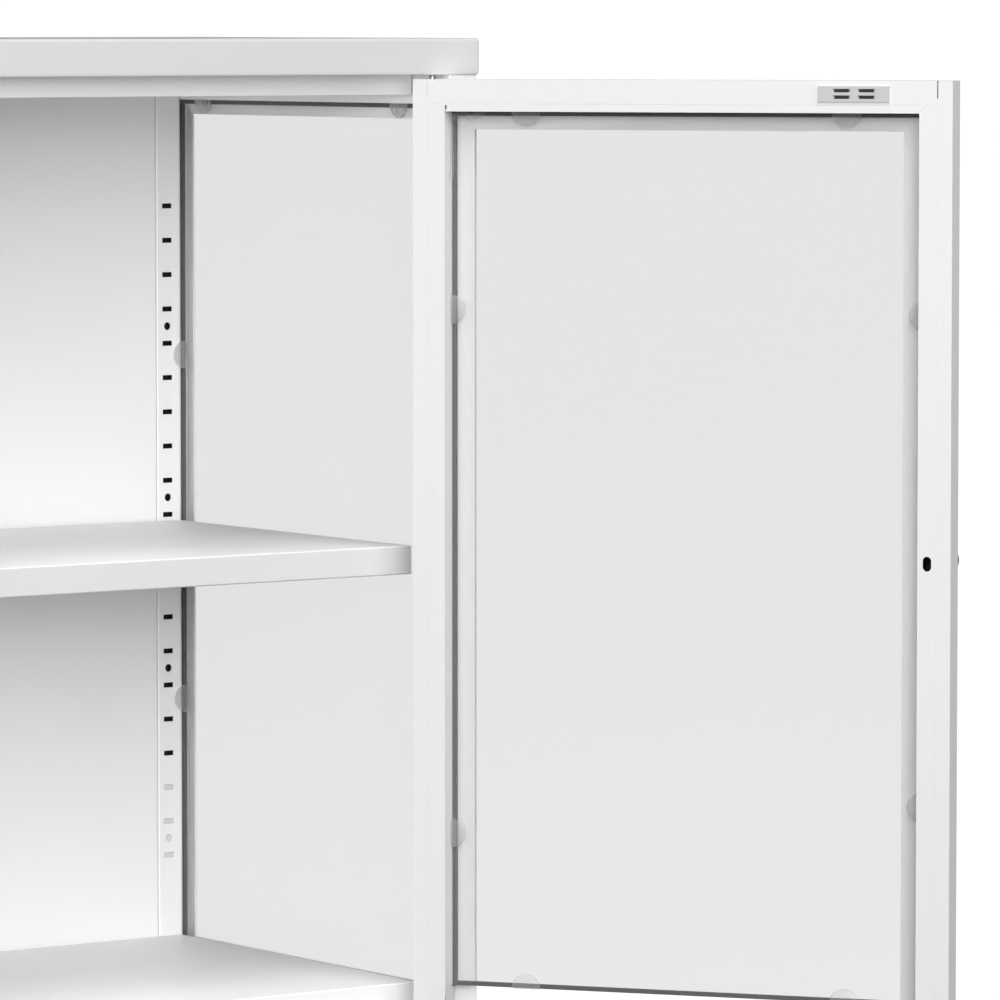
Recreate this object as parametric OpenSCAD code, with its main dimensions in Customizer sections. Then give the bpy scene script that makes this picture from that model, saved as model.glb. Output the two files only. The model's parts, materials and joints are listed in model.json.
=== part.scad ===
// Glazed display locker cabinet with two pivot-hung doors.
// Millimetres, +X right, +Y to the back, +Z up.
// The floor is z = 0 and the origin is the middle of the footprint.

/* [Cabinet] */
// Overall width
body_w = 816; // [600:1:1200]
// Overall depth
body_d = 360; // [280:1:500]
// Overall height with the feet
body_h = 730; // [560:1:1000]
// Height of the top and base trays
panel_t = 25; // [20:1:40]
// Clear height under the base tray
foot_h = 26; // [18:1:45]
// Steel sheet thickness
sheet = 1.2; // [0.8:0.1:1.6]
// Width of the folded lips under the front and back of the trays
lip_w = 46; // [30:1:60]

/* [Side frames] */
// Thickness of a side frame
side_t = 23; // [18:1:30]
// Side frames sit in from the tray ends by this much
side_inset = 1; // [0:0.5:3]
// Side frames sit back from the tray front by this much
side_front = 2.5; // [1:0.5:5]
// Width of the front stile's tube
front_stile_w = 30; // [22:1:40]
// Width of the rear stile's tube
rear_stile_w = 12.5; // [10:0.5:30]
// Height of the upper side rail's tube
side_rail_h = 20.4; // [14:0.2:30]
// Height of the lower side rail's tube
side_base_h = 10.4; // [8:0.2:16]
// Width of the rebate flange that backs the side glass
side_flange = 14.5; // [10:0.5:20]
// Thickness of all glass
glass_t = 4; // [3:0.5:6]
// Free space around the edge of each pane
glass_gap = 3; // [2:0.5:4]

/* [Interior] */
// Header, shelf and floor stand back from the front by this much
inner_set = 46; // [40:1:60]
// Floor front stands back by this much
floor_set = 40; // [36:1:56]
// Depth of the hollow behind the back panel
rear_depth = 20; // [14:1:30]
// Height of the header flange
header_h = 14.2; // [10:0.2:24]
// Height of the floor tray
floor_h = 22.3; // [16:0.1:32]
// Width of a slotted rear post
post_w = 20; // [16:1:28]
// Pitch of the slots
slot_pitch = 25; // [20:1:32]
// Number of slots in each post
slot_n = 20; // [10:1:26]
// First slot below the top face
slot_top = 122.6; // [90:0.1:160]
// Slot width
slot_w = 8.2; // [7:0.1:10]
// Slot height
slot_h = 3.6; // [3:0.1:5]
// Radius of the round holes between slots
hole_r = 2.9; // [2:0.1:3.5]
// Slot that carries the shelf, counted from the top one as 0
shelf_slot = 10; // [2:1:16]
// Depth of the shelf's folded edge
shelf_h = 20; // [14:1:30]

/* [Doors] */
// Door thickness
door_t = 20; // [18:1:26]
// Doors sit back from the tray front by this much
door_set = 4.2; // [3:0.1:8]
// Gap above and below a door
door_gap = 3; // [2.5:0.1:5]
// Gap between a door's hinge edge and the side frame
side_gap = 1.7; // [1.2:0.1:3]
// Gap between the two doors
mid_gap = 3; // [2:0.1:5]
// Width of a stile's tube
stile_w = 23; // [18:1:32]
// Height of a rail's tube
rail_h = 22; // [18:1:32]
// Front flange past a stile's tube
stile_flange = 15.5; // [10:0.5:22]
// Front flange past a rail's tube
rail_flange = 12.5; // [9:0.5:20]
// How far the right door stands open at rest
open_angle = 126; // [0:1:128]
// Radius of a pivot pin
pin_r = 2.5; // [2:0.1:3]
// Radius of a clear glass clip
clip_r = 10; // [7:0.5:13]
// Radius of the pole pockets in a magnet plate
pocket_r = 1.3; // [0.8:0.1:1.6]

/* [Hidden] */
$fn = 48;
cut = 0.4;
hw = body_w / 2;
hd = body_d / 2;
base_z0 = foot_h;
base_z1 = foot_h + panel_t;
top_z0 = body_h - panel_t;
out_x = hw - side_inset;
wall_x = out_x - side_t;
side_y0 = -hd + side_front;
side_y1 = hd - side_front;
inner_y0 = -hd + inner_set;
post_y = hd - rear_depth;
side_lip = 36;
rear_stile_t = side_t - 9.4;
rear_flange = 13;

// Rear posts, slots and shelf
post_x1 = wall_x - 1.4;
post_x0 = post_x1 - post_w;
post_xm = post_x1 - 11;
post_ret = 17;
slot_z0 = body_h - slot_top;
shelf_slot_z = slot_z0 - slot_pitch * shelf_slot;
shelf_z0 = shelf_slot_z + 0.6;
shelf_z1 = shelf_z0 + shelf_h;
shelf_x = wall_x - 1.5;
shelf_y1 = post_y - 1.5;
shelf_lip = 12;
bracket_w = 6;
hook_t = 3;
hook_reach = 4;
bracket_front = inner_y0 + 36;
leg_t = 6;
notch_y = shelf_y1 - 7;
floor_x = wall_x - 2.5;
floor_y0 = -hd + floor_set;
floor_z1 = base_z1 + floor_h;
back_x = post_x0 - 0.6;

// Doubler inside the foot of a post, behind its lowest three slots
doubler_gap = 0.4;
doubler_z1 = slot_z0 - (slot_n - 3.5) * slot_pitch;

// Side glass and its clips
sg_x0 = wall_x + 1;
sg_y0 = side_y0 + front_stile_w + glass_gap;
sg_y1 = side_y1 - rear_stile_w - glass_gap;
sg_z0 = base_z1 + side_base_h + glass_gap;
sg_z1 = top_z0 - side_rail_h - glass_gap;
sg_ym = (sg_y0 + sg_y1) / 2;
sg_zm = (sg_z0 + sg_z1) / 2;
side_clip_y = (sg_y1 - sg_y0) * 0.4;
side_clip_z = (sg_z1 - sg_z0) * 0.204;
rear_clip_y = post_y - 4.5;
clip_t = 3;

// Doors, drawn closed on the right-hand side
door_x0 = mid_gap / 2;
door_x1 = wall_x - side_gap;
door_y0 = -hd + door_set;
door_y1 = door_y0 + door_t;
door_z0 = base_z1 + door_gap;
door_z1 = top_z0 - door_gap;
door_zm = (door_z0 + door_z1) / 2;
pivot_x = door_x1 - 8.7;
pivot_y = door_y0 + 4;
dg_x0 = door_x0 + stile_w + glass_gap;
dg_x1 = door_x1 - stile_w - glass_gap;
dg_z0 = door_z0 + rail_h + glass_gap;
dg_z1 = door_z1 - rail_h - glass_gap;
dg_y0 = door_y0 + sheet;
door_clip_x = 77;
door_clip_z = 158;
door_clip_low = 128;
seal_t = 3;
groove_w = 0.8;
groove_d = 0.5;
stile_groove = 10;
rail_groove = 16.7;

// Seams where a rail's face laps a stile
seam_w = 0.8;
seam_d = 1.1;
seam_len = 12;
mitre_len = 7;
notch_w = 1.4;
notch_h = 4.7;

// Magnet plate on each door, with a steel pole in each pocket
magnet_x = door_x1 - 312.8;
magnet_w = 49.5;
magnet_z1 = door_z1 - 3.8;
magnet_h = 10.7;
magnet_d = 1.5;
pocket_len = 12.9;
pocket_x = [-8.6, 8.6];
pocket_z = [3.1, 7.5];
pocket_d = 1.1;
pole_t = 0.5;

// Knob
knob_x = door_x0 + 16.4;
knob_screw_r = 2;
knob_neck_r = 5;
knob_r = 12;
knob_len = 22;
access_w = 6;
access_h = 10;

// Pivots and bushes
bush_clear = 0.05;
bush_r = 4;
bush_flange_r = 6;
bush_flange_t = 1.6;
bush_len = 7;
pin_reach = 8;
block_w = 14;
block_h = 14;

// Feet and screws
foot_x = hw - 30;
foot_y = hd - 20;
foot_r = 16;
stud_r = 4;
nut_r = 7.5;
nut_h = 6;
base_hole_x = hw - 108;
base_hole_y = hd - 23;
base_hole_r = 4.5;
wall_hole_x = hw - 108;
wall_hole_z = body_h - 12.5;
wall_hole_r = 3.25;
screw_r = 2;
screw_head_r = 4;
screw_head_h = 2.4;
side_screw_y = hd * 0.66;
side_screw_x = wall_x + side_t / 2;
ceiling_screw_x = wall_x - 6;

// A block from its low corner to its high corner
module block(a, b)
{
    translate(a)
        cube(b - a);
}

// Four copies mirrored about both middle planes
module four()
{
    for (sx = [-1, 1])
        for (sy = [-1, 1])
            scale([sx, sy, 1])
                children();
}

// Both sides
module pair()
{
    children();
    mirror([1, 0, 0])
        children();
}

// Swings a door drawn closed on the right to its open rest pose
module right_open()
{
    translate([pivot_x, pivot_y, 0])
        rotate([0, 0, open_angle])
            translate([-pivot_x, -pivot_y, 0])
                children();
}

// Folded tray, open below but for the lips around its rim
module tray(z0, z1)
{
    difference()
    {
        block([-hw, -hd, z0], [hw, hd, z1]);
        block([-hw + sheet, -hd + sheet, z0 + sheet], [hw - sheet, hd - sheet, z1 - sheet]);
        block([-hw + side_lip, -hd + lip_w + 12, z0 - cut],
              [hw - side_lip, hd - lip_w + 14, z0 + sheet + cut]);
    }
}

// Pan-head screw with its head's seat at z = 0, shank up
module screw_up(len)
{
    translate([0, 0, -screw_head_h])
        cylinder(h = screw_head_h, r1 = screw_head_r - 0.8, r2 = screw_head_r);
    cylinder(h = len, r = screw_r);
}

module side_screw_places()
{
    for (y = [-side_screw_y, 0, side_screw_y])
        translate([side_screw_x, y, 0])
            children();
}

module ceiling_screw_places()
{
    for (y = [inner_y0 + 6, (inner_y0 + post_y) / 2, post_y - 6])
        translate([ceiling_screw_x, y, 0])
            children();
}

module top_panel()
{
    color("white")
        difference()
        {
            tray(top_z0, body_h);
            pair()
                translate([pivot_x, pivot_y, top_z0 - cut])
                    cylinder(h = sheet + 2 * cut, r = bush_r);
            pair()
                translate([wall_hole_x, hd - sheet - cut, wall_hole_z])
                    rotate([-90, 0, 0])
                        cylinder(h = sheet + 2 * cut, r = wall_hole_r);
            pair()
                ceiling_screw_places()
                    translate([0, 0, top_z0 - cut])
                        cylinder(h = sheet + 2 * cut, r = screw_r);
        }
}

module ceiling_panel()
{
    color("white")
        difference()
        {
            block([-wall_x + 1, inner_y0, top_z0 - header_h],
                  [wall_x - 1, post_y, top_z0]);
            block([-hw, inner_y0 + sheet, top_z0 - header_h - cut],
                  [hw, post_y + cut, top_z0 - sheet]);
            pair()
                ceiling_screw_places()
                    translate([0, 0, top_z0 - sheet - cut])
                        cylinder(h = sheet + 2 * cut, r = screw_r);
        }
}

module base_panel()
{
    color("white")
        difference()
        {
            tray(base_z0, base_z1);
            pair()
                translate([pivot_x, pivot_y, base_z1 - sheet - cut])
                    cylinder(h = sheet + 2 * cut, r = bush_r);
            four()
                translate([foot_x, foot_y, base_z0 - cut])
                    cylinder(h = sheet + 2 * cut, r = stud_r);
            four()
                translate([base_hole_x, base_hole_y, base_z0 - cut])
                    cylinder(h = sheet + 2 * cut, r = base_hole_r);
            pair()
                side_screw_places()
                    translate([0, 0, base_z1 - sheet - cut])
                        cylinder(h = sheet + 2 * cut, r = screw_r);
        }
}

module floor_panel()
{
    color("white")
        difference()
        {
            block([-floor_x, floor_y0, base_z1], [floor_x, shelf_y1, floor_z1]);
            block([-floor_x + sheet, floor_y0 + sheet, base_z1 - cut],
                  [floor_x - sheet, shelf_y1 - sheet, floor_z1 - sheet]);
        }
}

module back_panel()
{
    color("white")
        difference()
        {
            block([-back_x, post_y, base_z1], [back_x, post_y + post_ret, top_z0]);
            block([-back_x + sheet, post_y + sheet, base_z1 + sheet],
                  [back_x - sheet, hd, top_z0 - sheet]);
        }
}

module rear_post()
{
    color("white")
        difference()
        {
            block([post_x0, post_y, base_z1], [post_x1, post_y + post_ret, top_z0]);
            block([post_x0 + sheet, post_y + sheet, base_z1 - cut],
                  [post_x1 - sheet, post_y + post_ret - sheet, top_z0 + cut]);
            for (i = [0 : slot_n - 1])
                translate([post_xm - slot_w / 2, post_y - cut, slot_z0 - i * slot_pitch - slot_h / 2])
                    cube([slot_w, sheet + 2 * cut, slot_h]);
            for (k = [0 : 3])
                translate([post_xm, post_y - cut, slot_z0 - (3.5 + 5 * k) * slot_pitch])
                    rotate([-90, 0, 0])
                        cylinder(h = sheet + 2 * cut, r = hole_r);
        }
}

module right_rear_post()
{
    rear_post();
}

module left_rear_post()
{
    mirror([1, 0, 0])
        rear_post();
}

// Plate welded inside the foot of a post, which closes its lowest slots from behind
module post_doubler()
{
    color("white")
        block([post_x0 + sheet, post_y + sheet + doubler_gap, base_z1],
              [post_x1 - sheet, post_y + 2 * sheet + doubler_gap, doubler_z1]);
}

module right_post_doubler()
{
    post_doubler();
}

module left_post_doubler()
{
    mirror([1, 0, 0])
        post_doubler();
}

// Upright tube of a side frame with its glass flange on the inner side
module side_stile(x1, y0, y1, z0, z1, fy0, fy1)
{
    fx = sg_x0 + glass_t;
    color("white")
        difference()
        {
            union()
            {
                block([wall_x, y0, z0], [x1, y1, z1]);
                block([fx, fy0, base_z1 + side_base_h], [fx + sheet, fy1, top_z0 - side_rail_h]);
            }
            block([wall_x + sheet, y0 + sheet, z0 + sheet], [x1 - sheet, y1 - sheet, z1 - sheet]);
        }
}

module side_front_stile()
{
    y1 = side_y0 + front_stile_w;
    side_stile(out_x, side_y0, y1, base_z1, top_z0, y1, y1 + side_flange);
}

// The rear stile is thinner than the rails and stands between them
module side_rear_stile()
{
    y0 = side_y1 - rear_stile_w;
    side_stile(wall_x + rear_stile_t, y0, side_y1,
               base_z1 + side_base_h, top_z0 - side_rail_h, y0 - rear_flange, y0);
}

// Level tube of a side frame from the front stile to the back
module side_rail(z0, z1, fz0, fz1)
{
    fx = sg_x0 + glass_t;
    y0 = side_y0 + front_stile_w;
    fy1 = side_y1 - rear_stile_w - rear_flange;
    difference()
    {
        union()
        {
            block([wall_x, y0, z0], [out_x, side_y1, z1]);
            block([fx, y0 + side_flange, fz0], [fx + sheet, fy1, fz1]);
        }
        block([wall_x + sheet, y0 - cut, z0 + sheet], [out_x - sheet, side_y1 - sheet, z1 - sheet]);
    }
}

module side_top_rail()
{
    z0 = top_z0 - side_rail_h;
    color("white")
        side_rail(z0, top_z0, z0 - side_flange + 4, z0);
}

module side_bottom_rail()
{
    z1 = base_z1 + side_base_h;
    color("white")
        difference()
        {
            side_rail(base_z1, z1, z1, z1 + side_flange - 4);
            side_screw_places()
                translate([0, 0, base_z1 - cut])
                    cylinder(h = sheet + 2 * cut, r = screw_r);
        }
}

module right_side_front_stile()
{
    side_front_stile();
}

module left_side_front_stile()
{
    mirror([1, 0, 0])
        side_front_stile();
}

module right_side_rear_stile()
{
    side_rear_stile();
}

module left_side_rear_stile()
{
    mirror([1, 0, 0])
        side_rear_stile();
}

module right_side_top_rail()
{
    side_top_rail();
}

module left_side_top_rail()
{
    mirror([1, 0, 0])
        side_top_rail();
}

module right_side_bottom_rail()
{
    side_bottom_rail();
}

module left_side_bottom_rail()
{
    mirror([1, 0, 0])
        side_bottom_rail();
}

module side_glass()
{
    color("lightblue")
        block([sg_x0, sg_y0, sg_z0], [sg_x0 + glass_t, sg_y1, sg_z1]);
}

module right_side_glass()
{
    side_glass();
}

module left_side_glass()
{
    mirror([1, 0, 0])
        side_glass();
}

// Glazing strip that fills the gap round a side pane
module side_seal()
{
    color("dimgray")
        difference()
        {
            block([sg_x0 + glass_t - seal_t, sg_y0 - glass_gap, sg_z0 - glass_gap],
                  [sg_x0 + glass_t, sg_y1 + glass_gap, sg_z1 + glass_gap]);
            block([sg_x0, sg_y0, sg_z0], [sg_x0 + glass_t + cut, sg_y1, sg_z1]);
        }
}

module right_side_seal()
{
    side_seal();
}

module left_side_seal()
{
    mirror([1, 0, 0])
        side_seal();
}

// Half disc clip with its flat at the origin, dome along +X, flat on the glass at z = 0
module clip()
{
    intersection()
    {
        cylinder(h = clip_t, r = clip_r);
        translate([0, -clip_r, 0])
            cube([clip_r, 2 * clip_r, clip_t]);
    }
}

// Clips on the inner face of a side pane, with those at the back standing out from it
module side_clips()
{
    color("whitesmoke")
    {
        for (s = [-1, 1])
            translate([sg_x0, rear_clip_y, sg_zm + s * side_clip_z])
                rotate([-90, 0, 0])
                    mirror([1, 0, 0])
                        clip();
        translate([sg_x0, sg_ym, sg_zm])
            rotate([0, -90, 0])
            {
                hz = (sg_z1 - sg_z0) / 2 + glass_gap;
                hy = (sg_y1 - sg_y0) / 2 + glass_gap;
                for (s = [-1, 1])
                {
                    translate([hz, s * side_clip_y, 0])
                        rotate([0, 0, 180])
                            clip();
                    translate([-hz, s * side_clip_y, 0])
                        clip();
                    translate([s * side_clip_z, -hy, 0])
                        rotate([0, 0, 90])
                            clip();
                }
            }
    }
}

module right_side_clips()
{
    side_clips();
}

module left_side_clips()
{
    mirror([1, 0, 0])
        side_clips();
}

module shelf_panel()
{
    color("white")
        difference()
        {
            block([-shelf_x, inner_y0, shelf_z0], [shelf_x, shelf_y1, shelf_z1]);
            block([-shelf_x + sheet, inner_y0 + sheet, shelf_z0 + sheet],
                  [shelf_x - sheet, shelf_y1 - sheet, shelf_z1 - sheet]);
            block([-shelf_x + shelf_lip, inner_y0 + shelf_lip, shelf_z0 - cut],
                  [shelf_x - shelf_lip, shelf_y1 - sheet, shelf_z0 + sheet + cut]);
            pair()
                block([post_xm - bracket_w / 2 - 1, notch_y, shelf_z0 - cut],
                      [post_xm + bracket_w / 2 + 1, shelf_y1 + cut, shelf_z1 - sheet]);
        }
}

// Cantilever arm inside the shelf with two hooks through the post's slots
module shelf_brackets()
{
    hook_z = shelf_slot_z - hook_t / 2;
    x0 = post_xm - bracket_w / 2;
    x1 = post_xm + bracket_w / 2;
    color("white")
        pair()
        {
            block([x0, bracket_front, shelf_z0 + sheet + 0.3],
                  [x1, post_y, shelf_z1 - sheet]);
            block([x0, post_y - leg_t, hook_z - slot_pitch - 2],
                  [x1, post_y, shelf_z0 + sheet + 1]);
            for (d = [0, slot_pitch])
                block([x0, post_y - 1, hook_z - d], [x1, post_y + hook_reach, hook_z - d + hook_t]);
        }
}

// Bush with its barrel up from z = 0 and its flange at flange_z
module bush(flange_z)
{
    difference()
    {
        union()
        {
            cylinder(h = bush_len, r = bush_r);
            translate([0, 0, flange_z])
                cylinder(h = bush_flange_t, r = bush_flange_r);
        }
        translate([0, 0, -bush_flange_t - cut])
            cylinder(h = bush_len + bush_flange_t + 2 * cut, r = pin_r + bush_clear);
    }
}

// The top bushes lie flush under the tray, and the bottom ones carry the doors on their flanges
module hinge_bushes()
{
    color("white")
        pair()
            translate([pivot_x, pivot_y, 0])
            {
                translate([0, 0, top_z0])
                    bush(sheet);
                translate([0, 0, base_z1])
                    mirror([0, 0, 1])
                        bush(-bush_flange_t);
            }
}

module levelling_feet()
{
    color("dimgray")
        four()
            translate([foot_x, foot_y, 0])
            {
                cylinder(h = 5, r = foot_r);
                translate([0, 0, 5])
                    cylinder(h = 5, r1 = foot_r, r2 = 9);
                translate([0, 0, 10])
                    cylinder(h = foot_h - 10 + panel_t - sheet - 4, r = stud_r);
            }
}

module foot_nuts()
{
    color("silver")
        four()
            translate([foot_x, foot_y, 0])
                difference()
                {
                    union()
                    {
                        translate([0, 0, base_z0 - nut_h])
                            cylinder(h = nut_h, r = nut_r, $fn = 6);
                        translate([0, 0, base_z0 + sheet])
                            cylinder(h = nut_h, r = nut_r, $fn = 6);
                    }
                    translate([0, 0, base_z0 - nut_h - cut])
                        cylinder(h = 2 * nut_h + sheet + 2 * cut, r = stud_r);
                }
}

module base_screws()
{
    color("silver")
        pair()
            side_screw_places()
                translate([0, 0, base_z1 - sheet])
                    screw_up(8);
}

module ceiling_screws()
{
    color("silver")
        pair()
            ceiling_screw_places()
                translate([0, 0, top_z0 - sheet])
                    screw_up(8);
}

// Seams at one end of a stile, from its outer edge along +X and from its end along +Z
module stile_end_seams()
{
    translate([stile_groove, -seam_d, -cut])
        cube([seam_w, seam_d + cut, seam_len + cut]);
    translate([stile_groove + 2.5, -groove_d, rail_groove])
        cube([stile_w - stile_groove - 7.5, groove_d + cut, seam_w]);
    translate([stile_w, -groove_d, rail_h])
        rotate([0, 45, 0])
            translate([-seam_w / 2, 0, -mitre_len])
                cube([seam_w, groove_d + cut, mitre_len]);
}

// Both ends' seams for a stile whose outer edge is at x, with the door to the side of sx
module stile_seams(x, sx)
{
    translate([x, door_y1, door_z0])
        scale([sx, 1, 1])
            stile_end_seams();
    translate([x, door_y1, door_z1])
        scale([sx, 1, -1])
            stile_end_seams();
}

// Upright tube of a door with the front flange that covers the glass edge
module door_stile(x0, x1, fx0, fx1, gx)
{
    difference()
    {
        union()
        {
            block([x0, door_y0, door_z0], [x1, door_y1, door_z1]);
            block([fx0, door_y0, door_z0 + rail_h],
                  [fx1, door_y0 + sheet, door_z1 - rail_h]);
        }
        block([x0 + sheet, door_y0 + sheet, door_z0 + sheet],
              [x1 - sheet, door_y1 - sheet, door_z1 - sheet]);
        block([gx, door_y1 - groove_d, door_z0 + rail_h],
              [gx + groove_w, door_y1 + cut, door_z1 - rail_h]);
    }
}

module door_hinge_stile()
{
    x0 = door_x1 - stile_w;
    color("white")
        difference()
        {
            door_stile(x0, door_x1, x0 - stile_flange, x0, door_x1 - stile_groove - groove_w);
            stile_seams(door_x1, -1);
            translate([pivot_x, pivot_y, door_z0 - cut])
                cylinder(h = sheet + 2 * cut, r = pin_r);
            translate([pivot_x, pivot_y, door_z1 - sheet - cut])
                cylinder(h = sheet + 2 * cut, r = pin_r);
        }
}

module door_free_stile()
{
    x1 = door_x0 + stile_w;
    color("white")
        difference()
        {
            door_stile(door_x0, x1, x1, x1 + stile_flange, door_x0 + stile_groove);
            stile_seams(door_x0, 1);
            translate([knob_x, door_y0 - cut, door_zm])
                rotate([-90, 0, 0])
                    cylinder(h = sheet + 2 * cut, r = knob_screw_r);
            for (s = [-1, 1])
                translate([knob_x, door_y1 - sheet - cut, door_zm + s * (access_h - access_w) / 2])
                    rotate([-90, 0, 0])
                        cylinder(h = sheet + 2 * cut, r = access_w / 2);
            translate([knob_x - access_w / 2, door_y1 - sheet - cut, door_zm - (access_h - access_w) / 2])
                cube([access_w, sheet + 2 * cut, access_h - access_w]);
        }
}

// Level tube of a door between the stiles, with a notch at nz in its inner face beside the hinge stile
module door_rail(z0, z1, fz0, fz1, gz, nz)
{
    x0 = door_x0 + stile_w;
    x1 = door_x1 - stile_w;
    color("white")
        difference()
        {
            union()
            {
                block([x0, door_y0, z0], [x1, door_y1, z1]);
                block([x0 + stile_flange, door_y0, fz0],
                      [x1 - stile_flange, door_y0 + sheet, fz1]);
            }
            block([x0 - cut, door_y0 + sheet, z0 + sheet],
                  [x1 + cut, door_y1 - sheet, z1 - sheet]);
            block([x0 - cut, door_y1 - groove_d, gz],
                  [x1 + cut, door_y1 + cut, gz + groove_w]);
            block([x1 - notch_w, door_y1 - sheet - cut, nz],
                  [x1 + cut, door_y1 + cut, nz + notch_h]);
        }
}

module door_top_rail()
{
    z0 = door_z1 - rail_h;
    door_rail(z0, door_z1, z0 - rail_flange, z0, door_z1 - rail_groove - groove_w, z0 - cut);
}

module door_bottom_rail()
{
    z1 = door_z0 + rail_h;
    door_rail(door_z0, z1, z1, z1 + rail_flange, door_z0 + rail_groove, z1 + cut - notch_h);
}

module door_glass()
{
    color("lightblue")
        block([dg_x0, dg_y0, dg_z0], [dg_x1, dg_y0 + glass_t, dg_z1]);
}

// Glazing strip that fills the gap round a door pane
module door_seal()
{
    color("dimgray")
        difference()
        {
            block([dg_x0 - glass_gap, dg_y0, dg_z0 - glass_gap],
                  [dg_x1 + glass_gap, dg_y0 + seal_t, dg_z1 + glass_gap]);
            block([dg_x0, dg_y0 - cut, dg_z0], [dg_x1, dg_y0 + glass_t, dg_z1]);
        }
}

// Clips on the inner face of a door pane
module door_clips()
{
    color("whitesmoke")
        translate([0, dg_y0 + glass_t, 0])
            rotate([90, 0, 0])
                mirror([0, 0, 1])
                {
                    for (x = [door_x0 + door_clip_x, door_x1 - door_clip_x])
                    {
                        translate([x, door_z1 - rail_h, 0])
                            rotate([0, 0, -90])
                                clip();
                        translate([x, door_z0 + rail_h, 0])
                            rotate([0, 0, 90])
                                clip();
                    }
                    for (z = [door_z0 + door_clip_z, door_z1 - door_clip_z])
                        translate([door_x0 + stile_w, z, 0])
                            clip();
                    for (z = [door_z0 + door_clip_low, door_z1 - door_clip_z])
                        translate([door_x1 - stile_w, z, 0])
                            rotate([0, 0, 180])
                                clip();
                }
}

// Level pocket with round ends, cut along +Y and centred on x = 0
module pocket()
{
    reach = pocket_len / 2 - pocket_r;
    for (s = [-1, 1])
        translate([s * reach, 0, 0])
            rotate([-90, 0, 0])
                cylinder(h = pocket_d + cut, r = pocket_r);
    translate([-reach, 0, -pocket_r])
        cube([2 * reach, pocket_d + cut, 2 * pocket_r]);
}

module door_magnet()
{
    y1 = door_y1 + magnet_d;
    color("whitesmoke")
        difference()
        {
            block([magnet_x - magnet_w / 2, door_y1, magnet_z1 - magnet_h],
                  [magnet_x + magnet_w / 2, y1, magnet_z1]);
            for (x = pocket_x)
                for (z = pocket_z)
                    translate([magnet_x + x, y1 - pocket_d, magnet_z1 - z])
                        pocket();
        }
}

module door_poles()
{
    y0 = door_y1 + magnet_d - pocket_d;
    half_w = pocket_len / 2 - pocket_r;
    half_h = pocket_r - 0.3;
    color("dimgray")
        for (x = pocket_x)
            for (z = pocket_z)
                translate([magnet_x + x, y0, magnet_z1 - z])
                    block([-half_w, 0, -half_h], [half_w, pole_t, half_h]);
}

module door_knob()
{
    color("silver")
        translate([knob_x, door_y0, door_zm])
            rotate([90, 0, 0])
                difference()
                {
                    union()
                    {
                        cylinder(h = 2, r = knob_neck_r + 3);
                        cylinder(h = knob_len - 10, r = knob_neck_r);
                        translate([0, 0, knob_len - 12])
                            cylinder(h = 4, r1 = knob_neck_r, r2 = knob_r);
                        translate([0, 0, knob_len - 8])
                            cylinder(h = 6.5, r = knob_r);
                        translate([0, 0, knob_len - 1.5])
                            cylinder(h = 1.5, r1 = knob_r, r2 = knob_r - 1.5);
                    }
                    translate([0, 0, -cut])
                        cylinder(h = 10 + cut, r = knob_screw_r);
                }
}

module door_knob_screw()
{
    color("silver")
        translate([knob_x, door_y0 + sheet, door_zm])
            rotate([90, 0, 0])
            {
                cylinder(h = 10, r = knob_screw_r);
                translate([0, 0, -screw_head_h])
                    cylinder(h = screw_head_h, r1 = screw_head_r - 0.8, r2 = screw_head_r);
            }
}

// Pivot pins with the blocks that hold them inside the hinge stile
module door_pivots()
{
    y0 = door_y0 + sheet;
    color("silver")
    {
        translate([pivot_x, pivot_y, door_z1 - sheet - 4])
            cylinder(h = sheet + 4 + pin_reach, r = pin_r);
        block([pivot_x - block_w / 2, y0, door_z1 - sheet - block_h],
              [pivot_x + block_w / 2, y0 + block_w, door_z1 - sheet]);
        translate([pivot_x, pivot_y, door_z0 - pin_reach])
            cylinder(h = sheet + 4 + pin_reach, r = pin_r);
        block([pivot_x - block_w / 2, y0, door_z0 + sheet],
              [pivot_x + block_w / 2, y0 + block_w, door_z0 + sheet + block_h]);
    }
}

module left_door_hinge_stile()
{
    mirror([1, 0, 0])
        door_hinge_stile();
}

module right_door_hinge_stile()
{
    right_open()
        door_hinge_stile();
}

module left_door_free_stile()
{
    mirror([1, 0, 0])
        door_free_stile();
}

module right_door_free_stile()
{
    right_open()
        door_free_stile();
}

module left_door_top_rail()
{
    mirror([1, 0, 0])
        door_top_rail();
}

module right_door_top_rail()
{
    right_open()
        door_top_rail();
}

module left_door_bottom_rail()
{
    mirror([1, 0, 0])
        door_bottom_rail();
}

module right_door_bottom_rail()
{
    right_open()
        door_bottom_rail();
}

module left_door_glass()
{
    mirror([1, 0, 0])
        door_glass();
}

module left_door_seal()
{
    mirror([1, 0, 0])
        door_seal();
}

module right_door_glass()
{
    right_open()
        door_glass();
}

module right_door_seal()
{
    right_open()
        door_seal();
}

module left_door_clips()
{
    mirror([1, 0, 0])
        door_clips();
}

module right_door_clips()
{
    right_open()
        door_clips();
}

module left_door_magnet()
{
    mirror([1, 0, 0])
        door_magnet();
}

module left_door_poles()
{
    mirror([1, 0, 0])
        door_poles();
}

module right_door_magnet()
{
    right_open()
        door_magnet();
}

module right_door_poles()
{
    right_open()
        door_poles();
}

module left_door_knob()
{
    mirror([1, 0, 0])
        door_knob();
}

module right_door_knob()
{
    right_open()
        door_knob();
}

module left_door_knob_screw()
{
    mirror([1, 0, 0])
        door_knob_screw();
}

module right_door_knob_screw()
{
    right_open()
        door_knob_screw();
}

module left_door_pivots()
{
    mirror([1, 0, 0])
        door_pivots();
}

module right_door_pivots()
{
    right_open()
        door_pivots();
}

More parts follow.
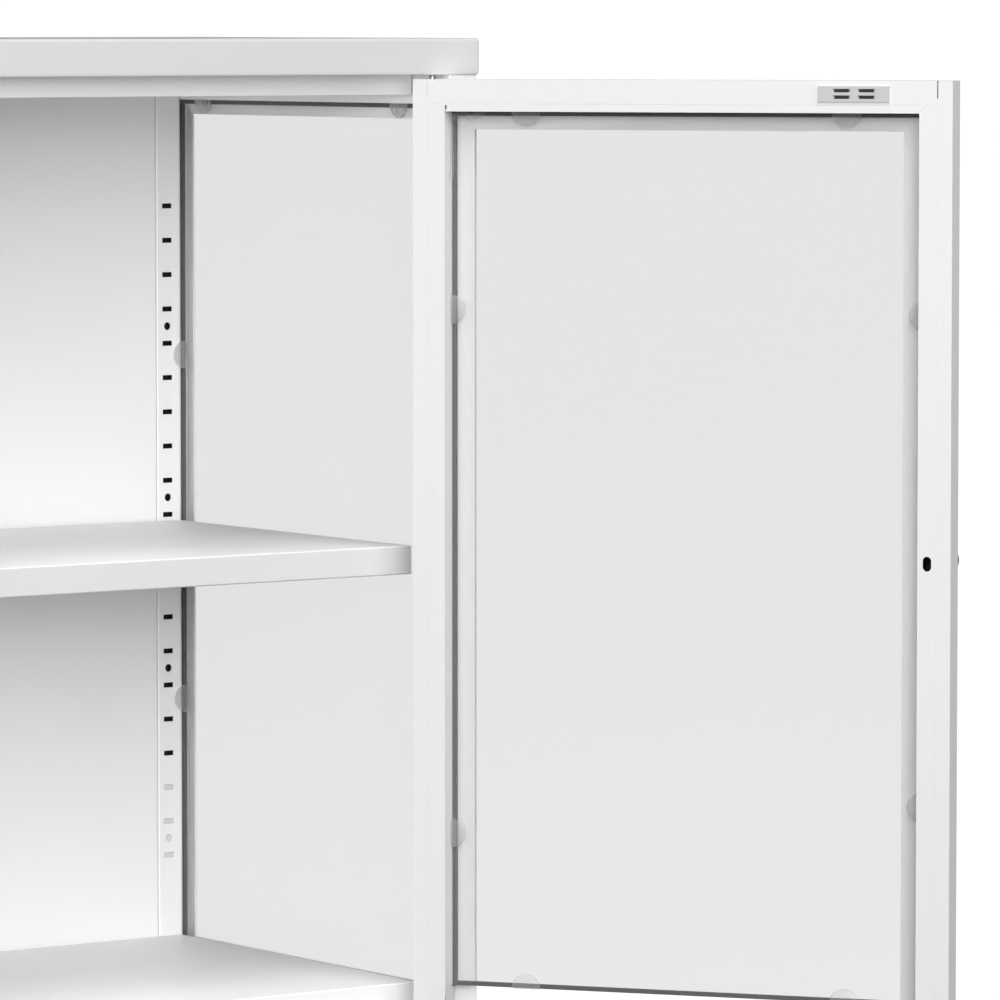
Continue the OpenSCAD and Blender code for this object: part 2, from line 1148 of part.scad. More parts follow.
top_panel();
ceiling_panel();
base_panel();
floor_panel();
back_panel();
left_rear_post();
right_rear_post();
left_post_doubler();
right_post_doubler();
left_side_front_stile();
right_side_front_stile();
left_side_rear_stile();
right_side_rear_stile();
left_side_top_rail();
right_side_top_rail();
left_side_bottom_rail();
right_side_bottom_rail();
left_side_glass();
left_side_seal();
right_side_glass();
right_side_seal();
left_side_clips();
right_side_clips();
shelf_panel();
shelf_brackets();
hinge_bushes();
levelling_feet();
foot_nuts();
base_screws();
ceiling_screws();
left_door_hinge_stile();
left_door_free_stile();
left_door_top_rail();
left_door_bottom_rail();
left_door_glass();
left_door_seal();
left_door_clips();
left_door_magnet();
left_door_poles();
left_door_knob();
left_door_knob_screw();
left_door_pivots();
right_door_hinge_stile();
right_door_free_stile();
right_door_top_rail();
right_door_bottom_rail();
right_door_glass();
right_door_seal();
right_door_clips();
right_door_magnet();
right_door_poles();
right_door_knob();
right_door_knob_screw();
right_door_pivots();
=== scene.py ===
import json
import math

import bmesh
import bpy
import numpy as np
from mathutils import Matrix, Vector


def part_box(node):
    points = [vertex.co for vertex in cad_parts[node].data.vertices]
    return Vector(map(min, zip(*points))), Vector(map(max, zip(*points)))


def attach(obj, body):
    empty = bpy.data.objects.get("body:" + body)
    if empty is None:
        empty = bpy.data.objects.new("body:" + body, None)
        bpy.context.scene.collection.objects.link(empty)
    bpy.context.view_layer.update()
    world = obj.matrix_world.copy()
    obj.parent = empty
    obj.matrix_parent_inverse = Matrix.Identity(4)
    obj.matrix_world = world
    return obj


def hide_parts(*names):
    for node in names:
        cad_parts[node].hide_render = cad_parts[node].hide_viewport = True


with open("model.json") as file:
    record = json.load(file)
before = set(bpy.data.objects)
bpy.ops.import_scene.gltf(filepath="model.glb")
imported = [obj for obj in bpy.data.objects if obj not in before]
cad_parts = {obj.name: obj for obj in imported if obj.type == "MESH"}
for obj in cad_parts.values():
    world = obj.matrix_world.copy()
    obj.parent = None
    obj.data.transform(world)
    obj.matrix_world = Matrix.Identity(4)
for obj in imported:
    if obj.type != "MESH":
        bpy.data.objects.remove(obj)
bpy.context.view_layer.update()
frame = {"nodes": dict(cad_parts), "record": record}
MM = 0.001


# --- The studio -----------------------------------------------------------------------------
# A pale floor that runs out to the horizon under a white sky, with broad soft lights from the
# front left and above. Weaker ones each light only a few pieces, inside the cabinet and on the
# open door. The camera stands low, level with the top tray.
def soft_light(name, place, target, width, height, power):
    """A rectangular area light at place, turned to face target."""
    lamp = bpy.data.lights.new(name, "AREA")
    lamp.shape = "RECTANGLE"
    lamp.size = width
    lamp.size_y = height
    lamp.energy = power
    stand = bpy.data.objects.new(name, lamp)
    stand.location = place
    aim = np.array(target, float) - np.array(place, float)
    turn = math.atan2(aim[0], -aim[1])
    tilt = math.atan2(math.hypot(aim[0], aim[1]), -aim[2])
    stand.rotation_euler = (tilt, 0, turn + math.pi)
    bpy.context.scene.collection.objects.link(stand)
    return stand


middle = (0.1, 0.0, 0.4)
soft_light("front_softbox", (-2.3, -4.4, 1.9), middle, 3.2, 2.0, 118)
soft_light("top_softbox", (-0.4, -3.0, 3.6), middle, 2.6, 2.6, 86)
inner_fill = soft_light("inner_fill", (-2.7, -4.0, 1.05), middle, 3.2, 1.9, 46)
shelf_fill = soft_light("shelf_fill", (-0.2, -0.5, 2.9), (0.0, 0.0, 0.3), 1.6, 1.6, 62)
header_fill = soft_light("header_fill", (-2.7, -4.0, 0.7), (0.1, 0.0, 0.5), 3.2, 1.2, 84)
edge_fill = soft_light("edge_fill", (2.1, -4.3, 1.0), (0.5, -0.4, 0.4), 1.6, 1.6, 42)
side_fill = soft_light("side_fill", (-3.4, -2.0, 0.8), (0.4, 0.1, 0.4), 1.6, 1.2, 26)


def behind_glass(tree, seen, direct, drop):
    """A strength that falls by drop once a ray has passed through something clear."""
    passed = tree.nodes.new("ShaderNodeMath")
    passed.operation = "MINIMUM"
    passed.inputs[1].default_value = 1.0
    tree.links.new(seen.outputs["Transparent Depth"], passed.inputs[0])
    strength = tree.nodes.new("ShaderNodeMath")
    strength.operation = "MULTIPLY_ADD"
    tree.links.new(passed.outputs[0], strength.inputs[0])
    strength.inputs[1].default_value = -drop
    strength.inputs[2].default_value = direct
    return strength.outputs[0]


white = (1, 1, 1, 1)
direct_sky, dim_sky = 1.05, 0.20
direct_floor, dim_floor = 1.0, 0.19
sky = bpy.data.worlds.new("Sky")
sky.use_nodes = True
sky_tree = sky.node_tree
sky_seen = sky_tree.nodes.new("ShaderNodeLightPath")
sky_white = sky_tree.nodes.new("ShaderNodeBackground")
sky_white.inputs["Color"].default_value = white
sky_tree.links.new(
    behind_glass(sky_tree, sky_seen, direct_sky, dim_sky), sky_white.inputs["Strength"]
)
sky_fill = sky_tree.nodes["Background"]
sky_fill.inputs["Color"].default_value = white
sky_fill.inputs["Strength"].default_value = 0.16
sky_mix = sky_tree.nodes.new("ShaderNodeMixShader")
sky_tree.links.new(sky_seen.outputs["Is Camera Ray"], sky_mix.inputs["Fac"])
sky_tree.links.new(sky_fill.outputs[0], sky_mix.inputs[1])
sky_tree.links.new(sky_white.outputs[0], sky_mix.inputs[2])
sky_tree.links.new(sky_mix.outputs[0], sky_tree.nodes["World Output"].inputs["Surface"])
bpy.context.scene.world = sky
bpy.context.scene.view_settings.view_transform = "Standard"

floor_reach = 30.0
floor_mesh = bpy.data.meshes.new("studio_floor")
floor_mesh.from_pydata(
    [(x * floor_reach, y * floor_reach, 0) for x, y in ((-1, -1), (1, -1), (1, 1), (-1, 1))],
    [],
    [(0, 1, 2, 3)],
)
studio_floor = bpy.data.objects.new("studio_floor", floor_mesh)
bpy.context.scene.collection.objects.link(studio_floor)
floor_paper = bpy.data.materials.new("Pale paper")
floor_paper.use_nodes = True
paper_tree = floor_paper.node_tree
paper = paper_tree.nodes["Principled BSDF"].inputs
paper["Base Color"].default_value = (0.12, 0.12, 0.12, 1)
paper["Roughness"].default_value = 0.9
paper["Emission Color"].default_value = white
paper_seen = paper_tree.nodes.new("ShaderNodeLightPath")
paper_glow = paper_tree.nodes.new("ShaderNodeMath")
paper_glow.operation = "MULTIPLY"
paper_tree.links.new(
    behind_glass(paper_tree, paper_seen, direct_floor, dim_floor), paper_glow.inputs[0]
)
paper_tree.links.new(paper_seen.outputs["Is Camera Ray"], paper_glow.inputs[1])
paper_tree.links.new(paper_glow.outputs[0], paper["Emission Strength"])
floor_mesh.materials.append(floor_paper)

camera_lens = bpy.data.cameras.new("Camera")
camera_lens.lens = 241.8
camera_lens.sensor_width = 36
camera = bpy.data.objects.new("Camera", camera_lens)
camera.location = (-2.291, -3.9459, 0.7435)
camera.rotation_euler = (math.radians(85.898), 0, math.radians(-35.799))
bpy.context.scene.collection.objects.link(camera)
bpy.context.scene.camera = camera


# --- Folded steel sheet ---------------------------------------------------------------------
# The trays, frames, posts and shelf are 1.2 mm steel sheet, cut, folded and spot welded, then
# sprayed together in a satin light grey powder coat with a fine orange-peel texture.
class Link:
    """One output socket of a material; + - and * with numbers or links add the Math nodes."""

    def __init__(self, finish, socket):
        self.finish = finish
        self.socket = socket

    def __add__(self, other):
        return self.finish.math("ADD", self, other)

    def __radd__(self, other):
        return self.finish.math("ADD", other, self)

    def __sub__(self, other):
        return self.finish.math("SUBTRACT", self, other)

    def __rsub__(self, other):
        return self.finish.math("SUBTRACT", other, self)

    def __mul__(self, other):
        return self.finish.math("MULTIPLY", self, other)

    def __rmul__(self, other):
        return self.finish.math("MULTIPLY", other, self)


class Finish:
    """A surface finish: one material, whose nodes are all made by node()."""

    def __init__(self, name):
        self.material = bpy.data.materials.new(name)
        self.material.use_nodes = True
        self.tree = self.material.node_tree
        self.tree.nodes.clear()

    def node(self, kind, inputs=None, out=0, stops=None, **settings):
        """A shader node with its settings, its ramp's stops and its inputs' values or links."""
        made = self.tree.nodes.new("ShaderNode" + kind)
        for name, value in settings.items():
            setattr(made, name, value)
        if stops:
            ramp = made.color_ramp.elements
            while len(ramp) < len(stops):
                ramp.new(1)
            for element, (place, grey) in zip(ramp, stops):
                element.position = place
                element.color = (grey, grey, grey, 1)
        for name, value in (inputs or {}).items():
            socket = made.inputs[name]
            if isinstance(value, Link):
                self.tree.links.new(value.socket, socket)
            else:
                socket.default_value = value
        return Link(self, made.outputs[out]) if made.outputs else None

    def math(self, operation, first, second=0.0, third=0.0):
        return self.node("Math", {0: first, 1: second, 2: third}, operation=operation)

    def place(self):
        """Object coordinates, in metres from the cabinet's origin."""
        return self.node("TexCoord", out="Object")

    def noise(self, scale, detail=2.0):
        return self.node("TexNoise", {"Vector": self.place(), "Scale": scale, "Detail": detail})

    def blend(self, amount, first, second):
        """A colour between two, by a factor from 0 to 1."""
        return self.node(
            "Mix", {"Factor": amount, "A": first, "B": second}, out="Result", data_type="RGBA"
        )

    def bump(self, height, distance, strength=1.0):
        return self.node("Bump", {"Height": height, "Distance": distance, "Strength": strength})

    def surface(self, **inputs):
        """The Principled shader with its inputs, whose underscores stand for spaces."""
        named = {name.replace("_", " "): value for name, value in inputs.items()}
        return self.node("BsdfPrincipled", named, out="BSDF")

    def end(self, shader):
        self.node("OutputMaterial", {"Surface": shader})
        return self.material


def grey(level):
    return (level, level, level, 1.0)


def powder_coat(name, level):
    """Satin powder coat: millimetre orange peel in the bump, faint cloudiness in the colour."""
    coat = Finish(name)
    peel = coat.noise(650.0, 2.0)
    cloud = coat.noise(7.0, 3.0)
    speck = coat.noise(2600.0, 1.0)
    fleck = coat.node("ValToRGB", {"Fac": speck}, stops=[(0.62, 0.0), (0.78, 1.0)])
    colour = coat.blend(cloud, grey(level * 0.985), grey(level * 1.012))
    colour = coat.blend(fleck * 0.12, colour, grey(level * 0.82))
    return coat.end(
        coat.surface(
            Base_Color=colour,
            Roughness=0.40 + cloud * 0.08 + peel * 0.06,
            Specular_IOR_Level=0.42,
            Normal=coat.bump(peel, 0.00005, 0.35),
        )
    )


def welded(nodes):
    """One mesh of parts welded and ground flush: the exact union of the nodes' meshes."""
    copies = []
    for node in nodes:
        shape = bmesh.new()
        shape.from_mesh(frame["nodes"][node].data)
        bmesh.ops.remove_doubles(shape, verts=shape.verts, dist=0.002 * MM)
        mesh = bpy.data.meshes.new(node + "_merged")
        shape.to_mesh(mesh)
        shape.free()
        copies.append(bpy.data.objects.new(node + "_merged", mesh))
        bpy.context.scene.collection.objects.link(copies[-1])
    first = copies[0]
    for other in copies[1:]:
        union = first.modifiers.new("Weld", "BOOLEAN")
        union.operation = "UNION"
        union.solver = "EXACT"
        union.object = other
    bpy.context.view_layer.update()
    graph = bpy.context.evaluated_depsgraph_get()
    mesh = bpy.data.meshes.new_from_object(first.evaluated_get(graph))
    for copy in copies:
        bpy.data.objects.remove(copy)
    return mesh


weld_fold = 0.4 * MM


def pressed(name, mesh, fold, rim=0.3 * MM):
    """A pressed sheet part: the mesh's triangles joined into whole faces, its folds rounded to
    the fold radius and its cut rims to a much smaller one, inside the mesh's own box."""
    shape = bmesh.new()
    shape.from_mesh(mesh)
    bmesh.ops.remove_doubles(shape, verts=shape.verts, dist=0.002 * MM)
    bmesh.ops.dissolve_limit(
        shape, angle_limit=math.radians(2), verts=shape.verts, edges=shape.edges
    )
    weight = shape.edges.layers.float.new("bevel_weight_edge")
    long_fold, broad_face = 8 * MM, 3 * MM
    long_rim, broad_rim = 2.5 * MM, 1 * MM
    for edge in shape.edges:
        if len(edge.link_faces) != 2 or edge.calc_face_angle(0) < math.radians(40):
            continue
        length = edge.calc_length()
        broad = min(face.calc_area() for face in edge.link_faces) / length
        if length > long_fold and broad > broad_face:
            edge[weight] = 1.0
        elif length > long_rim and broad > broad_rim:
            edge[weight] = rim / fold
    for face in shape.faces:
        face.smooth = False
    shape.to_mesh(mesh)
    shape.free()
    mesh.materials.clear()
    raw = bpy.data.objects.new(name + "_raw", mesh)
    bpy.context.scene.collection.objects.link(raw)
    bevel = raw.modifiers.new("Folds", "BEVEL")
    bevel.width = fold
    bevel.segments = 4
    bevel.limit_method = "WEIGHT"
    bevel.use_clamp_overlap = fold <= weld_fold
    bevel.miter_outer = "MITER_SHARP"
    points = np.empty(3 * len(mesh.vertices))
    mesh.vertices.foreach_get("co", points)
    points = points.reshape(-1, 3)
    low, high = points.min(0), points.max(0)
    bpy.context.view_layer.update()
    graph = bpy.context.evaluated_depsgraph_get()
    rounded = bpy.data.meshes.new_from_object(raw.evaluated_get(graph))
    bpy.data.objects.remove(raw)
    points = np.empty(3 * len(rounded.vertices))
    rounded.vertices.foreach_get("co", points)
    inside = np.clip(points.reshape(-1, 3), low, high)
    rounded.vertices.foreach_set("co", inside.ravel())
    piece = bpy.data.objects.new(name, rounded)
    bpy.context.scene.collection.objects.link(piece)
    return piece


def hang(piece, slot, *nodes):
    """Rides a piece on its nodes' body, in their place, and hides them. slot is not used."""
    bodies = frame["record"]["behaviour"]["bodies"]
    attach(piece, next(body for body, owned in bodies.items() if nodes[0] in owned))
    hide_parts(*nodes)


pivot = (373.6, -171.8)


def swung(points, node, turn=126.0):
    """Points of the right door turned about its pivot, from its closed place to its open one
    unless turn says otherwise. Points of other pieces stay."""
    if not node.startswith("right_door"):
        return points
    turn = math.radians(turn)
    hinge = np.array(pivot) * MM
    flat = points[:, :2] - hinge
    points = points.copy()
    points[:, 0] = hinge[0] + flat[:, 0] * math.cos(turn) - flat[:, 1] * math.sin(turn)
    points[:, 1] = hinge[1] + flat[:, 0] * math.sin(turn) + flat[:, 1] * math.cos(turn)
    return points


def paint_hollow_shade(piece, name, low, high):
    """Gives the faces whose middles lie between the corners low and high, with the door closed,
    a near-black colour: painted shade for the dark hollows inside the posts and the stile."""
    piece.data.materials.append(hollow_shade_black)
    middles = np.empty(3 * len(piece.data.polygons))
    piece.data.polygons.foreach_get("center", middles)
    middles = swung(middles.reshape(-1, 3), name, -126.0)
    hidden = ((middles > low) & (middles < high)).all(1)
    piece.data.polygons.foreach_set("material_index", hidden.astype(np.int32))


sheet_coat = powder_coat("Powder coat", 0.88)
# Near-black: painted shade for the insides of the rear posts and the free stile.
hollow_shade_black = powder_coat("Painted hollow shade", 0.015)
sheet_inner = 1.1 * MM
free_stile_hollow = np.array([[2.2, -175, 54.5], [23.8, -156.5, 701.5]]) * MM
tray_fold = 2.2 * MM
small_fold = 1.0 * MM
frame_parts = ["hinge_stile", "free_stile", "top_rail", "bottom_rail"]
side_parts = ["front_stile", "rear_stile", "top_rail", "bottom_rail"]
welds = {
    name: [f"{name}_{part}" for part in parts]
    for name, parts in (
        ("left_door", frame_parts),
        ("right_door", frame_parts),
        ("left_side", side_parts),
        ("right_side", side_parts),
    )
}
in_welds = {node for nodes in welds.values() for node in nodes}
for row in frame["record"]["subparts"]:
    if row["material_slot"] == "powder_coat" and row["node"] not in in_welds:
        welds[row["node"]] = [row["node"]]

lit_inside = bpy.data.collections.new("Lit inside")
lit_shelves = bpy.data.collections.new("Lit shelves")
lit_header = bpy.data.collections.new("Lit header")
lit_door = bpy.data.collections.new("Lit door")
unblocked = bpy.data.collections.new("Unblocked")
lit_glazing = bpy.data.collections.new("Lit glazing flanges")
header_fill.light_linking.receiver_collection = lit_header
side_fill.light_linking.receiver_collection = lit_glazing
side_fill.light_linking.blocker_collection = unblocked
shelf_fill.light_linking.blocker_collection = unblocked
edge_fill.light_linking.receiver_collection = lit_door
inner_fill.light_linking.receiver_collection = lit_inside
shelf_fill.light_linking.receiver_collection = lit_shelves
for name, nodes in welds.items():
    mesh = welded(nodes) if len(nodes) > 1 else frame["nodes"][nodes[0]].data.copy()
    fold = tray_fold if name in ("top_panel", "base_panel") else small_fold
    folded = pressed(name + "_pressed", mesh, weld_fold if len(nodes) > 1 else fold)
    folded.data.materials.append(sheet_coat)
    hang(folded, "powder_coat", *nodes)
    # The hollows inside the rear posts and the right door's free stile get painted shade.
    if "rear_post" in name:
        low, high = (np.array(corner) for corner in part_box(name))
        paint_hollow_shade(folded, name, low + sheet_inner, high - sheet_inner * np.array([1, 1, -1]))
    if name == "right_door":
        paint_hollow_shade(folded, name, *free_stile_hollow)
    if "door" not in name and name not in ("top_panel", "base_panel", "shelf_panel"):
        lit_inside.objects.link(folded)
    if name in ("shelf_panel", "floor_panel"):
        lit_shelves.objects.link(folded)
    if name == "ceiling_panel" or "_side" in name or "_rear_post" in name or "back" in name:
        lit_header.objects.link(folded)
    if "_side" in name or name == "right_door":
        lit_glazing.objects.link(folded)
    if name == "right_door":
        lit_door.objects.link(folded)


# --- Glass panes ----------------------------------------------------------------------------
# Each side and each door holds a 4 mm float glass pane with ground arrises. It is faintly grey
# looked through, and shows the fittings near it as dim reflections.
def slab(name, outline, normal_axis, low, high, arris):
    """A flat plate: the closed outline at four levels, drawn in by the arris at the outer two,
    and closed by a face at each end. outline is an (n, 2) array of the other two axes."""
    middle = (outline.min(0) + outline.max(0)) / 2
    reach = (outline.max(0) - outline.min(0)) / 2
    drawn = middle + (outline - middle) * (reach - arris) / reach
    rings = [(drawn, low), (outline, low + arris), (outline, high - arris), (drawn, high)]
    count = len(outline)
    points = np.empty((4 * count, 3))
    others = [axis for axis in range(3) if axis != normal_axis]
    for row, (ring, level) in enumerate(rings):
        points[row * count : (row + 1) * count, others] = ring
        points[row * count : (row + 1) * count, normal_axis] = level
    step = np.arange(count)
    after = (step + 1) % count
    faces = [
        quad
        for row in range(3)
        for quad in np.stack(
            [step + row * count, after + row * count, after + (row + 1) * count,
             step + (row + 1) * count], 1
        ).tolist()
    ]
    faces += [step[::-1].tolist(), (step + 3 * count).tolist()]
    return plate_object(name, points, faces)


def plate_object(name, points, faces):
    """A mesh object of those points and faces, with its faces turned outwards."""
    mesh = bpy.data.meshes.new(name)
    mesh.from_pydata(points.tolist(), [], faces)
    shape = bmesh.new()
    shape.from_mesh(mesh)
    bmesh.ops.recalc_face_normals(shape, faces=shape.faces)
    shape.to_mesh(mesh)
    shape.free()
    piece = bpy.data.objects.new(name, mesh)
    bpy.context.scene.collection.objects.link(piece)
    return piece


def rounded_box_outline(low, high, radius, steps=5):
    """A rectangle's corners as quarter circles of the radius, anticlockwise."""
    turn = np.linspace(0, math.pi / 2, steps)
    corners = []
    for quarter, (cx, cy) in enumerate(((1, 1), (0, 1), (0, 0), (1, 0))):
        centre_x = high[0] - radius if cx else low[0] + radius
        centre_y = high[1] - radius if cy else low[1] + radius
        angle = turn + quarter * math.pi / 2
        corners.append(
            np.stack([centre_x + radius * np.cos(angle), centre_y + radius * np.sin(angle)], 1)
        )
    return np.concatenate(corners)


def float_glass():
    """Clear float glass: it lets most light through a little dimmed, and mirrors the rest."""
    glass = Finish("Float glass")
    haze = glass.noise(3.0, 2.0)
    clear = glass.node("BsdfTransparent", {"Color": grey(0.985)})
    face = glass.surface(
        Base_Color=glass.blend(haze, grey(0.52), grey(0.58)),
        Roughness=0.03 + haze * 0.02,
        Specular_IOR_Level=1.0,
        IOR=1.6,
    )
    glancing = glass.node("LayerWeight", {"Blend": 0.5}, out="Facing")
    mirror = 0.04 + glass.math("POWER", glancing, 5.0) * 0.9
    return glass.end(glass.node("MixShader", {"Fac": mirror, 1: clear, 2: face}))


float_pane = float_glass()
turned_pane = "right_door_glass"
for node in [n for n in frame["nodes"] if n.endswith("_glass") and n != turned_pane]:
    low, high = (np.array(corner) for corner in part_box(node))
    axis = int(np.argmin(high - low))
    others = [a for a in range(3) if a != axis]
    outline = rounded_box_outline(low[others], high[others], 1.5 * MM)
    pane = slab(node + "_pane", outline, axis, low[axis], high[axis], 0.5 * MM)
    pane.data.materials.append(float_pane)
    hang(pane, "glass", node)
frame["nodes"][turned_pane].data.materials.clear()
frame["nodes"][turned_pane].data.materials.append(float_pane)


# --- Levelling feet -------------------------------------------------------------------------
# Four moulded feet on M8 studs, each held to the base tray by a hexagon nut above and one
# below the sheet.
def moulded(name, level, rough, mottle=0.02, **more):
    """Moulded plastic: one tone with faint mottling and a slightly uneven shine."""
    plastic = Finish(name)
    mottles = plastic.noise(180.0, 3.0)
    return plastic.end(
        plastic.surface(
            Base_Color=plastic.blend(mottles, grey(level - mottle), grey(level + mottle)),
            Roughness=rough + mottles * 0.1,
            Normal=plastic.bump(mottles, 0.00004, 0.3),
            **more,
        )
    )


def turned(profile, seat, axis, sides=48, flats=0):
    """Points and faces of a turned solid: rows of (radius, height) along axis from seat. With
    flats, radius = r cos(pi/n) / cos(angle from the nearest flat's middle), a regular prism."""
    axis = np.array(axis, float)
    across = np.cross(axis, (0, 0, 1) if abs(axis[2]) < 0.9 else (1, 0, 0))
    across /= np.linalg.norm(across)
    along = np.cross(axis, across)
    angle = np.arange(sides) * 2 * math.pi / sides
    shape = np.ones(sides)
    if flats:
        part = 2 * math.pi / flats
        shape = math.cos(part / 2) / np.cos((angle + part / 2) % part - part / 2)
    ring = np.cos(angle)[:, None] * across + np.sin(angle)[:, None] * along
    points = np.concatenate([
        np.array(seat, float) + ring * (radius * shape)[:, None] + axis * height
        for radius, height in profile
    ])
    step = np.arange(sides)
    after = (step + 1) % sides
    faces = []
    for row in range(len(profile) - 1):
        low, high = row * sides, (row + 1) * sides
        faces += np.stack([step + low, after + low, after + high, step + high], 1).tolist()
    faces += [step[::-1].tolist(), (step + (len(profile) - 1) * sides).tolist()]
    return points, faces


crease = math.radians(30)


def gather(name, parts, finish, slot, *nodes):
    """One piece of several solids, in metres from parts in millimetres, on its nodes."""
    points, faces = [], []
    for part_points, part_faces in parts:
        start = sum(len(p) for p in points)
        points.append(part_points * MM)
        faces += [[corner + start for corner in face] for face in part_faces]
    piece = plate_object(name, swung(np.concatenate(points), nodes[0]), faces)
    piece.data.materials.append(finish)
    piece.data.shade_smooth()
    piece.data.set_sharp_from_angle(angle=crease)
    hang(piece, slot, *nodes)
    return piece


def mirrored(parts):
    """The same solids on the left-hand side."""
    return [(points * (-1, 1, 1), [face[::-1] for face in faces]) for points, faces in parts]


rubber = moulded("Foot rubber", 0.05, 0.55, 0.01)
zinc = moulded("Zinc plate", 0.6, 0.25, 0.05, Metallic=1.0)
both = (-1, 1)
up, down = (0, 0, 1), (0, 0, -1)
stud_thread = [(4.0 - 0.35 * (turn % 2), 11 + 0.625 * turn) for turn in range(1, 55)]
foot_profile = [
    (15.2, 0), (16, 0.8), (16, 4.4), (15.2, 5.6), (9.6, 9.8), (9, 10.4), (4, 10.6),
    *stud_thread, (3.4, 46.2),
]
nut_profile = [(4.0, 0), (6.6, 0), (7.5, 0.5), (7.5, 5.5), (6.6, 6), (4.0, 6)]
corners = [(x * 378, y * 160) for x in both for y in both]
feet = [turned(foot_profile, (x, y, 0), up) for x, y in corners]
nuts = [turned(nut_profile, (x, y, z), up, 48, 6) for x, y in corners for z in (20, 27.2)]
gather("feet", feet, rubber, "foot_rubber", "levelling_feet")
gather("nuts", nuts, zinc, "zinc", "foot_nuts")


# --- Sheet-metal screws ---------------------------------------------------------------------
# Pan-head screws hold the side frames down on the base tray and the ceiling up to the top tray.
def pan_head(seat, axis, length):
    """A pan head below its seat, then a shank with 0.7 mm threads."""
    head = [(0.9, -1.3), (1.2, -2.1), (2.6, -2.4), (3.5, -1.9), (4, -0.9), (4, 0)]
    threads = [(2.0 - 0.25 * (k % 2), 0.35 * k) for k in range(int(length / 0.35))]
    return turned(head + threads + [(1.4, length)], seat, axis, 32)


screws = [pan_head((x * 395.5, y, 49.8), up, 8) for x in both for y in (-118.8, 0, 118.8)]
gather("frame_screws", screws, zinc, "zinc", "base_screws")
screws = [pan_head((x * 378, y, 703.8), up, 8) for x in both for y in (-128, 13, 154)]
gather("header_screws", screws, zinc, "zinc", "ceiling_screws")


# --- Hinge bushes and pivots ----------------------------------------------------------------
# White nylon bushes in the trays carry each door's two steel pins, whose blocks are fixed
# inside the hinge stile.
bush_top = [
    (2.56, 0), (3.7, 0), (4, 0.3), (4, 1.2), (6, 1.25), (6, 2.5), (5.7, 2.8), (4, 2.8), (4, 6.7),
    (3.7, 7), (2.56, 7), (2.56, 0),
]
bush_low = [
    (2.56, -1.6), (5.7, -1.6), (6, -1.3), (6, 0), (4, 0), (4, 6.7), (3.7, 7), (2.56, 7),
    (2.56, -1.6),
]
pivot_x, pivot_y = pivot
block_y = pivot_y + 4.2
bushes = [turned(bush_top, (x * pivot_x, pivot_y, 705), up) for x in both]
bushes += [turned(bush_low, (x * pivot_x, pivot_y, 51), down) for x in both]
gather("bushes", bushes, moulded("Nylon", 0.85, 0.4), "nylon", "hinge_bushes")
pin_profile = [(2.1, 0), (2.5, 0.5), (2.5, 12.4), (2.1, 13.2)]
block_profile = [(9.0, 0), (9.9, 0.8), (9.9, 13.2), (9.0, 14)]


def square_block(seat):
    """The pin's 14 mm square block, turned to stand square in the stile."""
    points, faces = turned(block_profile, (0, 0, 0), up, 48, 4)
    quarter = math.pi / 4
    x = points[:, 0] * math.cos(quarter) - points[:, 1] * math.sin(quarter)
    y = points[:, 0] * math.sin(quarter) + points[:, 1] * math.cos(quarter)
    return np.stack([x, y, points[:, 2]], 1) + seat, faces


pivots = [
    turned(pin_profile, (pivot_x, pivot_y, 696.8), up),
    turned(pin_profile, (pivot_x, pivot_y, 59.2), down),
    square_block((pivot_x, block_y, 686.8)),
    square_block((pivot_x, block_y, 55.2)),
]
gather("right_pivots", pivots, zinc, "zinc", "right_door_pivots")
gather("left_pivots", mirrored(pivots), zinc, "zinc", "left_door_pivots")


# --- Knobs ----------------------------------------------------------------------------------
# A turned aluminium knob on the front of each free stile, held by a screw from inside that is
# reached through the oval hole.
def turned_metal():
    """Turned metal: a fine noise in its colour, roughness and bump."""
    metal = Finish("Turned metal")
    rings = metal.noise(1400.0, 2.0)
    return metal.end(
        metal.surface(
            Base_Color=metal.blend(rings, grey(0.55), grey(0.66)),
            Roughness=0.22 + rings * 0.14,
            Metallic=1.0,
            Normal=metal.bump(rings, 0.00002, 0.4),
        )
    )


knob_profile = [
    (2.05, 10), (2.05, 0), (7.6, 0), (8, 0.4), (8, 1.6), (7.6, 2), (5.4, 2.2), (5, 2.8), (5, 9),
    (5.6, 10.2), (11.2, 13.6), (12, 14.6), (12, 20.2), (11.7, 21), (10.9, 21.6), (10, 22),
    (9, 21.6),
]
forward = (0, -1, 0)
knob = [turned(knob_profile, (17.9, -175.8, 378), forward, 64)]
# Near-black for the knob screws and catch poles: painted shade of the oval hole and the pockets.
pocket_shade_black = moulded("Pocket shade black", 0.03, 0.5, 0.008)
knob_screw = [pan_head((17.9, -174.6, 378), forward, 10)]
knob_metal = turned_metal()
gather("right_knob", knob, knob_metal, "knob_metal", "right_door_knob")
gather("left_knob", mirrored(knob), knob_metal, "knob_metal", "left_door_knob")
gather("right_knob_screw", knob_screw, pocket_shade_black, "pole_steel", "right_door_knob_screw")
gather(
    "left_knob_screw", mirrored(knob_screw), pocket_shade_black, "pole_steel", "left_door_knob_screw"
)


